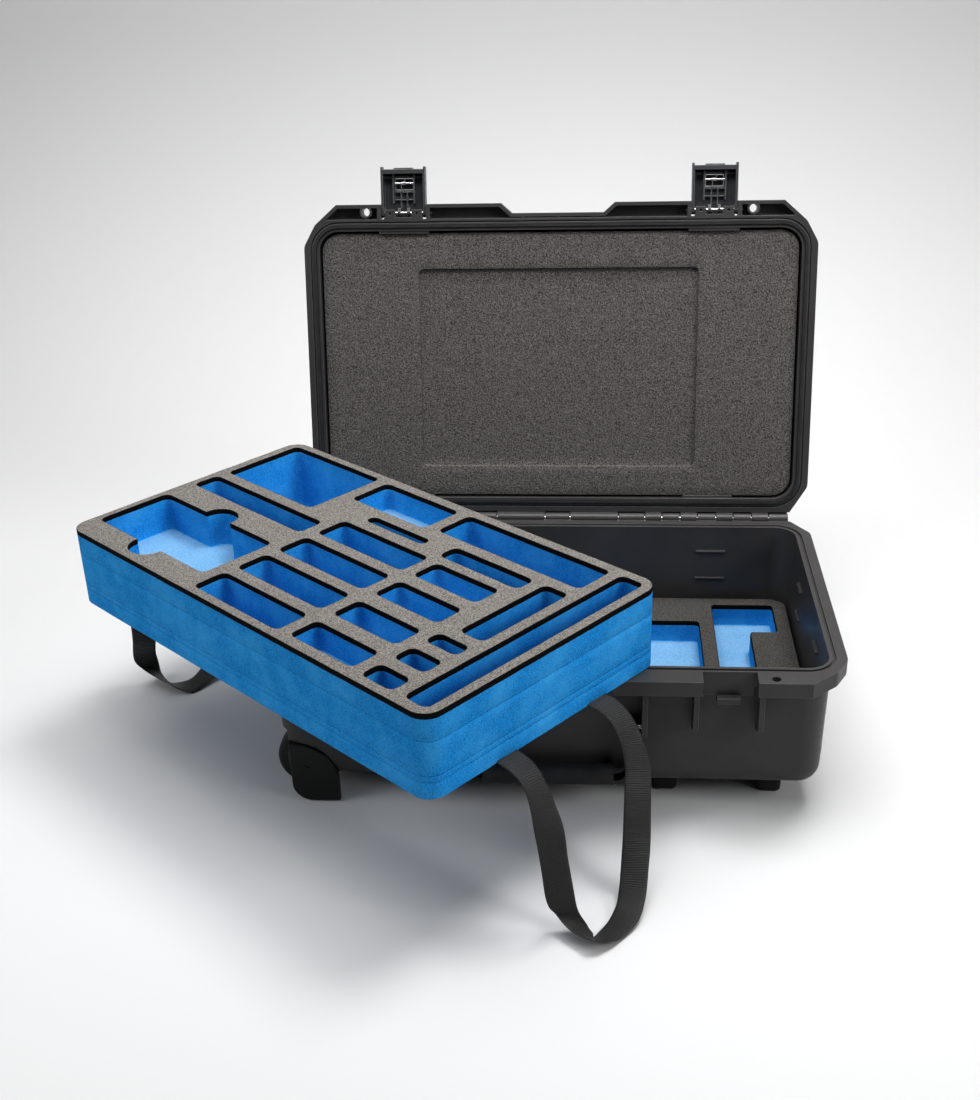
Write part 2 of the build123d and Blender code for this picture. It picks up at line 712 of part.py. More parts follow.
# ---------------------------------------------------------------- pressure valve
# the valve sits square on the drafted front wall
valve_x = -114.0
valve_z = 104.0
lean = radians(draft)
wall_y = -(cavity_y / 2 + wall) + (parting_z - valve_z) * sin(lean) / cos(lean)
VALVE = Plane(
    origin=(valve_x, wall_y - 0.05, valve_z), x_dir=(1, 0, 0), z_dir=(0, -cos(lean), -sin(lean))
)
with BuildPart() as pressure_valve:
    with BuildSketch(VALVE):
        Circle(13)
    extrude(amount=4, taper=10)
    with BuildSketch(VALVE.offset(4)):
        Circle(7)
    extrude(amount=3)
    with BuildSketch(VALVE.offset(7)):
        with PolarLocations(4, 6):
            Circle(0.9)
    extrude(amount=-5, mode=Mode.SUBTRACT)
finish(pressure_valve, "pressure_valve")

# ---------------------------------------------------------------- tray
tray_top = 81.2
deep = 71.0
shallow = 27.5
near_depth = 39.5        # the lobed pocket
# pockets of the tray: left, right, near and far edge from the tray's middle, and depth
pockets = [
    (-247, -109, 41.5, 135.5, deep),
    (-93.5, 13, 84.5, 133, 28.0),
    (28, 209.5, 90, 133.5, deep),
    (222, 247.5, -134, 134.5, deep),
    (-43, 38, 59, 70, 45.0),
    (67.5, 168, 53.5, 75.5, deep),
    (182, 209.5, -33, 75.5, deep),
    (-249, -73, -1.5, 27.5, deep),
    (-250, -73.5, -115, -34.5, near_depth),
]
pockets += [(-58.5, 63, 9.5 - 48.4 * row, 44 - 48.4 * row, 45.0) for row in range(4)]
pockets += [(77.5, 158, high - 30.5, high, shallow) for high in (41, -6, -54.5, -102.5)]
pockets += [(172, 208.5, low, high, 45.0) for low, high in ((-63.5, -47), (-99.5, -78), (-135, -113.5))]
lobe_x = -161.5
lobe_r = 19.5
lobe_y = (-34.5, -115.0)


def open_pockets(level):
    """The pockets that are open at a height in the tray: left, right, near and far edge."""
    reach = tray_top - level
    found = [pocket[:4] for pocket in pockets if pocket[4] > reach]
    if near_depth > reach:
        found += [(lobe_x - lobe_r, lobe_x + lobe_r, y - lobe_r, y + lobe_r) for y in lobe_y]
    return found


def pocket_faces(plane):
    """Outlines of every pocket, with its rounded corners."""
    with BuildSketch(plane) as face:
        for x0, x1, y0, y1, depth in pockets:
            with Locations(((x0 + x1) / 2, (y0 + y1) / 2)):
                RectangleRounded(x1 - x0, y1 - y0, min(7, (y1 - y0) / 2 - 0.1))
        with Locations(*((lobe_x, y) for y in lobe_y)):
            Circle(lobe_r)
    return face.sketch


def tray_slab(low, high):
    """A slab of the tray's full outline."""
    with BuildPart() as slab:
        with BuildSketch(TRAY.offset(low)):
            RectangleRounded(tray_length, tray_width, tray_r)
        extrude(amount=high - low)
    return slab.part


def tray_blocks(low, high):
    """The blocks of one layer of the tray, with the pockets that are open at its top."""
    holes = open_pockets(high - 1)
    return foam_blocks(TRAY, tray_slab(low, high), holes, tray_length / 2, tray_width / 2, low, high)


deep_floor = tray_top - deep
mid_floor = tray_top - 45.0
near_floor = tray_top - near_depth
shallow_floor = tray_top - shallow

strap_slot = 2.2
with BuildPart() as tray_foam_floor:
    add(tray_slab(0, deep_floor))
    for b in (-strap_b, strap_b):
        with Locations(TRAY * Location((0, b, strap_slot / 2))):
            Box(tray_length + 2, strap_width + 1, strap_slot, mode=Mode.SUBTRACT)
finish(tray_foam_floor, "tray_foam_floor")

finish_blocks(tray_blocks(deep_floor, mid_floor), "tray_foam_lower")
finish_blocks(
    tray_blocks(mid_floor, near_floor) + tray_blocks(near_floor, shallow_floor), "tray_foam_middle"
)
finish_blocks(tray_blocks(shallow_floor, tray_top - skin_t), "tray_foam_upper")

with BuildPart() as tray_skin:
    add(tray_slab(tray_top - skin_t, tray_top))
    extrude(pocket_faces(TRAY.offset(tray_top)), amount=-skin_t, mode=Mode.SUBTRACT)
finish(tray_skin, "tray_skin")

with BuildPart() as strap_runs:
    for b in (-strap_b, strap_b):
        with Locations(TRAY * Location((0, b, strap_slot - strap_t / 2))):
            Box(tray_length, strap_width, strap_t)
finish(strap_runs, "strap_runs")

strap_high = strap_slot - strap_t / 2     # middle of the webbing above the tray's underside
floor_level = -parting_z - tray_lift + 0.6 + strap_t / 2


def strap_loop(name, end, route, bend, crossing):
    """A webbing loop: two legs down to the floor and a flat stretch that joins them."""
    with BuildPart() as loop:
        for b in (-strap_b, strap_b):
            leg = Plane(
                origin=TRAY.from_local_coords((end * tray_length / 2, b + strap_width / 2, 0)),
                x_dir=TRAY.x_dir * end, z_dir=TRAY.y_dir * -1 if end > 0 else TRAY.y_dir,
            )
            if end < 0:
                leg = leg.offset(-strap_width)
            with BuildSketch(leg):
                with BuildLine():
                    FilletPolyline(*route, radius=bend)
                trace(line_width=strap_t)
            extrude(amount=strap_width)
        near, far = crossing
        middle = (end * (tray_length / 2 + (near + far) / 2), 0, floor_level)
        with Locations(TRAY * Location(middle)):
            Box(far - near, 2 * strap_b + strap_width, strap_t)
    finish(loop, name)


strap_loop(
    "tray_strap_right", 1,
    [(0.8, strap_high), (30, strap_high), (40, -18), (42, -130), (58, floor_level), (86, floor_level)],
    8, (66, 88),
)
strap_loop(
    "tray_strap_left", -1,
    [(0.8, strap_high), (28, strap_high), (46, -30), (50, -90), (40, -140)]
    + [(24, floor_level), (4, floor_level)],
    8, (4, 26),
)
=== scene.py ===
"""Looks of an open hard equipment case with a foam organiser tray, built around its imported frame."""

import json
import math

import bmesh
import bpy
from mathutils import Matrix, Vector, geometry, noise

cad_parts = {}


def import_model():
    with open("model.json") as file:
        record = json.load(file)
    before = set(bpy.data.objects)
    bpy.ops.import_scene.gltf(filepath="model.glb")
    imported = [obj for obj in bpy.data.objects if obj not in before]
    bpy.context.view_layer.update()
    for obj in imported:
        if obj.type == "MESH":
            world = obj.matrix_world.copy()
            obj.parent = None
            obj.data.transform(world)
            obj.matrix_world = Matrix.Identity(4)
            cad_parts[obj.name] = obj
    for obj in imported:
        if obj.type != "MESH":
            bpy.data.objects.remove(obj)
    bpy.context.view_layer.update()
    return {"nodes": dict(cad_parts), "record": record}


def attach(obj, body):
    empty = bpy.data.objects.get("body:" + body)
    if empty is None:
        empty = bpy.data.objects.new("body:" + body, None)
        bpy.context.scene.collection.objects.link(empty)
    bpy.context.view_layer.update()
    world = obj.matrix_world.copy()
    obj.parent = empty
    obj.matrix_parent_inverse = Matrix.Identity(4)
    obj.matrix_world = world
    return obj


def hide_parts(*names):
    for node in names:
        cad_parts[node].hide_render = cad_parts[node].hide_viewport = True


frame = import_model()

MM = 0.001
nodes = frame["nodes"]

# ---------------------------------------------------------------- places of the foam pieces
PARTING_Z = 160.0  # joint between base and lid, in millimetres like the sizes below
HINGE_Y = 169.0
OPEN_ANGLE = math.radians(102.6)
CAVITY_X, CAVITY_Y, CAVITY_R = 518.0, 293.0, 22.0

TRAY_X, TRAY_Y, TRAY_TURN = -188.9, -85.1, math.radians(-39.97)
TRAY_LENGTH, TRAY_WIDTH, TRAY_R = 516.3, 290.6, 18.0
TRAY_TOP = 81.2
TRAY_LIFT = 0.3
SKIN = 5.2  # dark top layer of the tray and of the bottom foam
GLUE = 0.05  # between a skin and its block
STRAP_WIDTH = 25.0
STRAP_THICK = 1.6

TRAY = Matrix.Translation((TRAY_X, TRAY_Y, PARTING_Z + TRAY_LIFT)) @ Matrix.Rotation(TRAY_TURN, 4, "Z")
FLAT = Matrix.Identity(4)
LID = Matrix(
    (
        (1, 0, 0, 0),
        (0, -math.cos(OPEN_ANGLE), -math.sin(OPEN_ANGLE), HINGE_Y),
        (0, math.sin(OPEN_ANGLE), -math.cos(OPEN_ANGLE), PARTING_Z),
        (0, 0, 0, 1),
    )
)


# ---------------------------------------------------------------- materials
class Nodes:
    """Short calls for building one material's node tree."""

    def __init__(self, name):
        self.material = bpy.data.materials.new(name)
        self.material.use_nodes = True
        self.tree = self.material.node_tree
        self.shader = self.tree.nodes["Principled BSDF"]
        self.place = self.add("ShaderNodeTexCoord").outputs["Object"]

    def add(self, kind, **settings):
        node = self.tree.nodes.new(kind)
        for key, value in settings.items():
            setattr(node, key, value)
        return node

    def put(self, value, socket):
        """Links an output to a socket, or sets the socket to a constant."""
        if isinstance(value, bpy.types.NodeSocket):
            self.tree.links.new(value, socket)
        else:
            socket.default_value = value

    def set(self, name, value):
        self.put(value, self.shader.inputs[name])

    def noise(self, scale, detail=2.0, roughness=0.5, place=None, stretch=None):
        texture = self.add("ShaderNodeTexNoise")
        place = self.place if place is None else place
        if stretch:
            mapping = self.add("ShaderNodeMapping")
            mapping.inputs["Scale"].default_value = stretch
            self.put(place, mapping.inputs["Vector"])
            place = mapping.outputs["Vector"]
        self.put(place, texture.inputs["Vector"])
        texture.inputs["Scale"].default_value = scale
        texture.inputs["Detail"].default_value = detail
        texture.inputs["Roughness"].default_value = roughness
        return texture.outputs["Fac"]

    def cells(self, scale, place=None):
        texture = self.add("ShaderNodeTexVoronoi")
        self.put(self.place if place is None else place, texture.inputs["Vector"])
        texture.inputs["Scale"].default_value = scale
        return texture.outputs["Distance"]

    def ramp(self, value, stops):
        """A colour ramp; stops are (position, colour or grey)."""
        node = self.add("ShaderNodeValToRGB")
        self.put(value, node.inputs["Fac"])
        elements = node.color_ramp.elements
        while len(elements) < len(stops):
            elements.new(0.5)
        for element, (position, colour) in zip(elements, stops):
            element.position = position
            element.color = (*colour, 1) if isinstance(colour, tuple) else (colour,) * 3 + (1,)
        return node.outputs["Color"]

    def mix(self, factor, a, b, blend="MIX"):
        node = self.add("ShaderNodeMix", data_type="RGBA", blend_type=blend)
        self.put(factor, node.inputs["Factor"])
        for value, socket in ((a, node.inputs["A"]), (b, node.inputs["B"])):
            self.put((*value, 1) if isinstance(value, tuple) else value, socket)
        return node.outputs["Result"]

    def maths(self, operation, a, b=0.0):
        node = self.add("ShaderNodeMath", operation=operation)
        self.put(a, node.inputs[0])
        self.put(b, node.inputs[1])
        return node.outputs[0]

    def bump(self, height, distance, strength=1.0, below=None):
        node = self.add("ShaderNodeBump")
        node.inputs["Strength"].default_value = strength
        node.inputs["Distance"].default_value = distance
        self.put(height, node.inputs["Height"])
        if below is not None:
            self.put(below, node.inputs["Normal"])
        return node.outputs["Normal"]

    def bevel(self, radius):
        node = self.add("ShaderNodeBevel", samples=4)
        node.inputs["Radius"].default_value = radius
        return node.outputs["Normal"]

    def edges(self, radius):
        """0 on flat faces, rising to 1 on edges and ridges."""
        node = self.add("ShaderNodeVectorMath", operation="DOT_PRODUCT")
        self.put(self.bevel(radius), node.inputs[0])
        self.put(self.add("ShaderNodeNewGeometry").outputs["Normal"], node.inputs[1])
        return self.ramp(node.outputs["Value"], ((0.78, 1.0), (0.995, 0.0)))


def plastic(name, colour, roughness=0.42, grain=2600.0, depth=0.00004, edge=0.0008, edge_wear_and_highlight=0.06):
    """Injection-moulded plastic: fine grain, soft moulded edges painted paler as part wear and part painted
    highlight, and faint scuffs.
    """
    n = Nodes(name)
    patches = n.noise(14.0, 4.0, 0.6)
    scuffs = n.noise(60.0, 6.0, 0.7, stretch=(1.0, 0.25, 3.0))
    light = tuple(min(1.0, c * 1.28 + 0.002) for c in colour)
    body = n.mix(n.ramp(patches, ((0.35, 0.0), (0.7, 1.0))), colour, light)
    # edges and ridges made paler: partly wear, partly a painted highlight where light catches them
    wear_and_highlight_colour = tuple(c + edge_wear_and_highlight for c in colour)
    n.set("Base Color", n.mix(n.edges(edge * 1.6), body, wear_and_highlight_colour))
    n.set("Roughness", n.ramp(scuffs, ((0.3, roughness - 0.05), (0.75, roughness + 0.09))))
    fine = n.noise(grain, 2.0, 0.5)
    n.set("Normal", n.bump(fine, depth, 0.6, below=n.bevel(edge)))
    n.set("Specular IOR Level", 0.34)
    return n.material


def foam(name, dark, light, cell=900.0, mottle=0.5, roughness=0.9, depth=0.0005, pale=None):
    """Cut foam: small cells of uneven tone, soft mottling, pits in its surface, and painted shade darkening
    the cells towards their pits.
    """
    n = Nodes(name)
    speckle = n.noise(cell, 3.0, 0.75)
    cells = n.cells(cell * 0.62)
    cloud = n.noise(26.0, 5.0, 0.62)
    tone = n.ramp(speckle, ((0.36, 0.0), (0.64, 1.0)))
    base = n.mix(tone, dark, light)
    if pale is not None:
        base = n.mix(n.maths("MULTIPLY", n.ramp(cloud, ((0.42, 0.0), (0.72, 1.0))), mottle), base, pale)
    # painted shade: each cell is darkened towards its centre, where the bump sinks into a pit
    painted_pit_shade = n.ramp(cells, ((0.0, 0.72), (0.55, 1.0)))
    n.set("Base Color", n.mix(0.55, base, painted_pit_shade, blend="MULTIPLY"))
    n.set("Roughness", roughness)
    n.set("Specular IOR Level", 0.06)
    pits = n.maths("ADD", n.maths("MULTIPLY", cells, 0.7), n.maths("MULTIPLY", speckle, 0.8))
    n.set("Normal", n.bump(pits, depth, 0.55))
    return n.material


def webbing_material(name):
    """Black woven webbing: yarns along the strap crossed by its ribs, by UV in millimetres."""
    n = Nodes(name)
    uv = n.add("ShaderNodeTexCoord").outputs["UV"]
    split = n.add("ShaderNodeSeparateXYZ")
    n.put(uv, split.inputs["Vector"])
    across = n.maths("SINE", n.maths("MULTIPLY", split.outputs["X"], 2 * math.pi / 1.3))
    along = n.maths("SINE", n.maths("MULTIPLY", split.outputs["Y"], 2 * math.pi / 1.05))
    yarns = n.maths("MULTIPLY", across, along)
    fibre = n.noise(2.2, 4.0, 0.7, place=uv, stretch=(3.0, 0.6, 1.0))
    bright = n.ramp(fibre, ((0.35, 0.0), (0.75, 1.0)))
    n.set("Base Color", n.mix(bright, (0.003, 0.003, 0.003), (0.014, 0.013, 0.012)))
    n.set("Roughness", n.ramp(fibre, ((0.3, 0.34), (0.7, 0.55))))
    n.set("Specular IOR Level", 0.55)
    n.set("Normal", n.bump(n.maths("ADD", yarns, fibre), 0.00016, 0.8))
    return n.material


def metal(name, colour, roughness=0.26, drawn=(2.0, 120.0, 120.0)):
    """Drawn metal: fine lines along its length and slightly uneven polish."""
    n = Nodes(name)
    lines = n.noise(90.0, 4.0, 0.6, stretch=drawn)
    n.set("Base Color", n.mix(n.noise(30.0, 3.0), tuple(c * 0.82 for c in colour), colour))
    n.set("Metallic", 1.0)
    n.set("Roughness", n.ramp(lines, ((0.3, roughness - 0.08), (0.7, roughness + 0.12))))
    n.set("Normal", n.bump(lines, 0.00003, 0.4, below=n.bevel(0.0003)))
    return n.material


def rubber(name, colour, roughness=0.72):
    """Dull rubber with a dusty bloom."""
    n = Nodes(name)
    dust = n.noise(70.0, 6.0, 0.7)
    pale = tuple(c * 1.9 + 0.01 for c in colour)
    n.set("Base Color", n.mix(n.ramp(dust, ((0.4, 0.0), (0.85, 1.0))), colour, pale))
    n.set("Roughness", n.ramp(dust, ((0.3, roughness - 0.08), (0.7, roughness + 0.12))))
    n.set("Specular IOR Level", 0.3)
    n.set("Normal", n.bump(n.noise(1500.0, 2.0), 0.00005, 0.5, below=n.bevel(0.0005)))
    return n.material


CHARCOAL = (0.031, 0.0292, 0.0292)
BLACK = (0.006, 0.006, 0.0063)
MATERIALS = {
    "shell": plastic("shell_plastic", CHARCOAL, 0.40),
    "cover": plastic("cover_plastic", (0.003, 0.003, 0.003), 0.5, edge_wear_and_highlight=0.012),
    "fitting": plastic("fitting_plastic", BLACK, 0.38, edge_wear_and_highlight=0.03),
    "latch": plastic("latch_plastic", (0.034, 0.035, 0.038), 0.36, edge_wear_and_highlight=0.11),
    "button": plastic("button_plastic", (0.02, 0.02, 0.022), 0.34),
    "grip_rubber": rubber("grip_rubber_finish", (0.012, 0.012, 0.013), 0.55),
    "rubber": rubber("seal_rubber", (0.010, 0.010, 0.011)),
    "tyre": rubber("tyre_rubber", (0.014, 0.014, 0.014)),
    "hub": plastic("hub_plastic", (0.03, 0.03, 0.032), 0.45),
    "steel": metal("bright_steel", (0.72, 0.71, 0.69), 0.24),
    "tube": metal("anodised_tube", (0.55, 0.56, 0.58), 0.34),
    "foam_blue": foam("blue_foam", (0.006, 0.150, 0.42), (0.026, 0.315, 0.70), pale=(0.075, 0.40, 0.74)),
    # pocket floors a paler blue: partly the cut face, partly painted light on faces that look up at the
    # lamps
    "foam_floor": foam(
        "blue_foam_floor", (0.085, 0.23, 0.40), (0.18, 0.34, 0.51), mottle=0.3, pale=(0.23, 0.38, 0.54)
    ),
    "foam_seam": foam("blue_foam_seam", (0.001, 0.035, 0.13), (0.006, 0.11, 0.30)),
    "foam_skin": foam(
        "skin_foam_top", (0.040, 0.037, 0.034), (0.245, 0.23, 0.214), cell=950.0, depth=0.0008
    ),
    # painted shade: the same skin foam as the tray's top, made darker for the bottom skin deep in the case
    "foam_deep": foam(
        "bottom_skin_top_painted_shade", (0.010, 0.010, 0.009), (0.105, 0.100, 0.094), cell=900.0, depth=0.0009
    ),
    "foam_cut": foam("skin_foam_cut", (0.0015, 0.0015, 0.0016), (0.006, 0.006, 0.0065), cell=900.0),
    "foam_grey": foam(
        "lid_foam_face", (0.020, 0.019, 0.018), (0.150, 0.141, 0.133), cell=700.0, depth=0.0011
    ),
    "webbing": webbing_material("strap_webbing"),
}
material_of = {part["node"]: part["material_slot"] for part in frame["record"]["subparts"]}
for node_name, piece in nodes.items():
    piece.data.materials.clear()
    piece.data.materials.append(MATERIALS[material_of[node_name]])


# ---------------------------------------------------------------- outlines
def rounded_outline(corners, step=7.0, arc=7):
    """Points round a polygon, anticlockwise; corners are (x, y, radius) and runs are cut to step."""
    points = []
    for i, (x, y, radius) in enumerate(corners):
        here = Vector((x, y))
        back = (Vector(corners[i - 1][:2]) - here).normalized()
        ahead = (Vector(corners[(i + 1) % len(corners)][:2]) - here).normalized()
        half = back.angle(ahead) / 2
        start = here + back * (radius / math.tan(half))
        middle = here + (back + ahead).normalized() * (radius / math.sin(half))
        end = here + ahead * (radius / math.tan(half))
        first = math.atan2(start.y - middle.y, start.x - middle.x)
        last = math.atan2(end.y - middle.y, end.x - middle.x)
        turn = (last - first + math.pi) % (2 * math.pi) - math.pi
        for k in range(arc + 1):
            angle = first + turn * k / arc
            points.append(middle + Vector((math.cos(angle), math.sin(angle))) * radius)
    loop = []
    for a, b in zip(points, points[1:] + points[:1]):
        pieces = max(1, round((b - a).length / step))
        loop += [a.lerp(b, k / pieces) for k in range(pieces)]
    return loop


def rectangle(x0, x1, y0, y1, radius):
    """Corners of a rounded rectangle, for rounded_outline."""
    return [(x0, y0, radius), (x1, y0, radius), (x1, y1, radius), (x0, y1, radius)]


def grow(loop, amount):
    """The loop moved outwards by an amount, along its own normals."""
    moved = []
    for i, point in enumerate(loop):
        along = (loop[(i + 1) % len(loop)] - loop[i - 1]).normalized()
        moved.append(point + Vector((along.y, -along.x)) * amount)
    return moved


def inside(point, loop):
    """Whether a point lies inside a loop."""
    hit = False
    for a, b in zip(loop, loop[1:] + loop[:1]):
        crosses = (a.y > point.y) != (b.y > point.y)
        if crosses and point.x < a.x + (point.y - a.y) * (b.x - a.x) / (b.y - a.y):
            hit = not hit
    return hit


# ---------------------------------------------------------------- foam blocks
class Foam:
    """One closed foam piece, built level by level in millimetres on its own plane."""

    def __init__(self, name, plane, wobble=0.16):
        self.name = name
        self.plane = plane
        self.wobble = wobble
        self.bm = bmesh.new()

    def vert(self, point, z):
        """A vertex, moved a little as a knife wanders through foam."""
        here = Vector((point.x, point.y, z))
        drift = noise.noise_vector(here / 19.0) + noise.noise_vector(here / 5.0) * 0.45
        return self.bm.verts.new(self.plane @ (here + drift * self.wobble))

    def wall(self, loop, levels, finish, inward=False, lines=()):
        """A skirt down a loop; levels are (growth, z), and lines start glue lines. Gives its end rings."""
        rings = [[self.vert(p, z) for p in grow(loop, growth)] for growth, z in levels]
        for index, (upper, lower) in enumerate(zip(rings, rings[1:])):
            for i in range(len(loop)):
                quad = (upper[i - 1], lower[i - 1], lower[i], upper[i])
                face = self.bm.faces.new(tuple(reversed(quad)) if inward else quad)
                face.material_index = 3 if index in lines else finish
                face.smooth = True
        return rings[0], rings[-1]

    def cap(self, outer, holes, finish, up=True, grid=0.0, z=0.0):
        """A flat face inside a ring, with holes, and with loose points every grid millimetres."""
        back = self.plane.inverted()
        rings = [outer, *holes]
        verts = [v for ring in rings for v in ring]
        flat = [(back @ v.co).to_2d() for v in verts]
        loops = []
        edges = []
        first = 0
        for ring in rings:
            count = len(ring)
            edges += [(first + i, first + (i + 1) % count) for i in range(count)]
            loops.append(flat[first:first + count])
            first += count
        boxes = [
            (min(p.x for p in loop), max(p.x for p in loop), min(p.y for p in loop), max(p.y for p in loop))
            for loop in loops
        ]

        def kept(point):
            near = [
                x0 <= point.x <= x1 and y0 <= point.y <= y1 and inside(point, loop)
                for loop, (x0, x1, y0, y1) in zip(loops, boxes)
            ]
            return near[0] and not any(near[1:])

        if grid:
            x0, x1, y0, y1 = boxes[0]
            for i in range(1, int((x1 - x0) / grid)):
                for j in range(1, int((y1 - y0) / grid)):
                    point = Vector((x0 + (i + 0.5 * (j % 2)) * grid, y0 + j * grid))
                    clear = min((point - p).length for p in flat[:first:2]) > grid * 0.45
                    if clear and kept(point):
                        flat.append(point)
                        verts.append(self.vert(point, z))
        out, _, faces, origin, _, _ = geometry.delaunay_2d_cdt(flat, edges, [], 0, 1e-6)
        for face in faces:
            if not kept(sum((out[i] for i in face), Vector((0, 0))) / len(face)):
                continue
            corners = [verts[origin[i][0]] for i in face]
            made = self.bm.faces.new(corners if up else list(reversed(corners)))
            made.material_index = finish
            made.smooth = True

    def close(self, body, slot, replaced, finishes):
        """Writes the mesh, gives it its materials, ties it to its body, and hides the CAD nodes it replaces.
        """
        bmesh.ops.delete(self.bm, geom=[v for v in self.bm.verts if not v.link_faces], context="VERTS")
        mesh = bpy.data.meshes.new(self.name)
        self.bm.transform(Matrix.Scale(MM, 4))
        self.bm.to_mesh(mesh)
        self.bm.free()
        for finish in finishes:
            mesh.materials.append(MATERIALS[finish])
        piece = bpy.data.objects.new(self.name, mesh)
        bpy.context.scene.collection.objects.link(piece)
        mesh.set_sharp_from_angle(angle=math.radians(38))
        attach(piece, body)
        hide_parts(*replaced)
        return piece


def down(top, low, step=9.0):
    """Heights from top to low, with evenly spaced ones between."""
    pieces = max(1, round((top - low) / step))
    return [top + (low - top) * k / pieces for k in range(pieces + 1)]


def foam_skin(name, plane, outline, pockets, top, low, body, replaced, finish="foam_skin"):
    """A thin dark layer over a foam block, cut through by every pocket."""
    made = Foam(name, plane)
    edge = 0.55
    outer = [(-edge, top), (-0.15, top - 0.18), (0, top - edge), (0.08, (top + low) / 2), (-0.05, low)]
    hole = [(edge, top), (0.15, top - 0.18), (0, top - edge), (-0.08, (top + low) / 2), (0.05, low)]
    rim, foot = made.wall(outline, outer, 1)
    holes = [made.wall(loop, hole, 1, inward=True) for loop, _ in pockets]
    made.cap(rim, [h[0] for h in holes], 0, up=True, grid=11.0, z=top)
    made.cap(foot, [h[1] for h in holes], 1, up=False)
    return made.close(body, "foam_skin", replaced, (finish, "foam_cut"))


def foam_body(
    name, plane, outline, pockets, top, low, body, replaced, slot, finishes, seams=(), edge=0.3, heel=1.0
):
    """A foam block with pockets; seams are the heights of its glue lines."""
    made = Foam(name, plane)
    outer = [(-edge, top), (-0.3 * edge, top - 0.3 * edge), (0, top - edge)]
    lines = set()
    stops = [top - edge, *sorted(seams, reverse=True), low + heel]
    for high, under in zip(stops, stops[1:]):
        outer += [(0, z) for z in down(high - 0.5, under + 0.5)]
        if under in seams:
            lines.add(len(outer) - 1)
            outer.append((-0.25, under))
    for k in range(1, 5):
        turn = math.radians(22.5 * k)
        outer.append((heel * (math.cos(turn) - 1), low + heel * (1 - math.sin(turn))))
    rim, foot = made.wall(outline, outer, 0, lines=lines)
    mouths = []
    for loop, depth in pockets:
        floor = top - depth
        side = [(edge, top), (0.3 * edge, top - 0.3 * edge), (0, top - edge)]
        side += [(0, z) for z in down(top - edge - 0.4, floor + 1.2)]
        side += [(-0.35, floor + 0.35), (-1.2, floor)]
        mouth, base = made.wall(loop, side, 0, inward=True)
        mouths.append(mouth)
        made.cap(base, [], 1, up=True, grid=9.0, z=floor)
    made.cap(rim, mouths, 2, up=True, grid=11.0 if slot == "foam_grey" else 0.0, z=top)
    made.cap(foot, [], 0, up=False)
    return made.close(body, slot, replaced, finishes if len(finishes) > 2 else (*finishes, finishes[0]))


# the tray's pockets: corners and depth below the tray's top
DEEP, SHALLOW, HALFWAY = 71.0, 27.5, 45.0
TRAY_SEAMS = (55.0, 22.0, 16.0)  # heights of its glue lines


def pocket(x0, x1, y0, y1, depth, radius=6.5):
    """A pocket with rounded corners, and its depth."""
    return rounded_outline(rectangle(x0, x1, y0, y1, min(radius, (y1 - y0) / 2 - 0.2))), depth


def lobed_pocket(x0, x1, y0, y1, depth, lobe_x, lobe_r):
    """A rectangular pocket with a round finger space on each long side."""
    left, right, soft = lobe_x - lobe_r, lobe_x + lobe_r, 1.4
    corners = [
        (x0, y0, 7), (left, y0, soft), (left, y0 - lobe_r, lobe_r - 1.6), (right, y0 - lobe_r, lobe_r - 1.6),
        (right, y0, soft), (x1, y0, 7), (x1, y1, 7), (right, y1, soft),
        (right, y1 + lobe_r, lobe_r - 1.6), (left, y1 + lobe_r, lobe_r - 1.6), (left, y1, soft), (x0, y1, 7),
    ]
    return rounded_outline(corners), depth


tray_pockets = [
    pocket(-247, -109, 41.5, 135.5, DEEP),
    pocket(-93.5, 13, 84.5, 133, 28.0),
    pocket(28, 209.5, 90, 133.5, DEEP),
    pocket(222, 247.5, -134, 134.5, DEEP),
    pocket(-43, 38, 59, 70, HALFWAY),
    pocket(67.5, 168, 53.5, 75.5, DEEP),
    pocket(182, 209.5, -33, 75.5, DEEP),
    pocket(-249, -73, -1.5, 27.5, DEEP),
    lobed_pocket(-250, -73.5, -115.5, -34.5, 39.5, -161.5, 19.5),
]
tray_pockets += [pocket(-58.5, 63, 9.5 - 48.4 * row, 44 - 48.4 * row, HALFWAY) for row in range(4)]
tray_pockets += [pocket(77.5, 158, high - 30.5, high, SHALLOW) for high in (41, -6, -54.5, -102.5)]
tray_pockets += [
    pocket(172, 208.5, low, high, HALFWAY) for low, high in ((-63.5, -47), (-99.5, -78), (-135, -113.5))
]
tray_outline = rounded_outline(
    rectangle(-TRAY_LENGTH / 2, TRAY_LENGTH / 2, -TRAY_WIDTH / 2, TRAY_WIDTH / 2, TRAY_R), arc=12
)
foam_skin(
    "tray_skin_sheet", TRAY, tray_outline, tray_pockets, TRAY_TOP, TRAY_TOP - SKIN, "tray", ["tray_skin"]
)
foam_body(
    "tray_foam_block", TRAY, tray_outline, [(loop, depth - SKIN) for loop, depth in tray_pockets],
    TRAY_TOP - SKIN - GLUE, 0.0, "tray",
    ["tray_foam_floor", "tray_foam_lower", "tray_foam_middle", "tray_foam_upper"],
    "foam_blue", ("foam_blue", "foam_floor", "foam_blue", "foam_seam"), seams=TRAY_SEAMS,
)

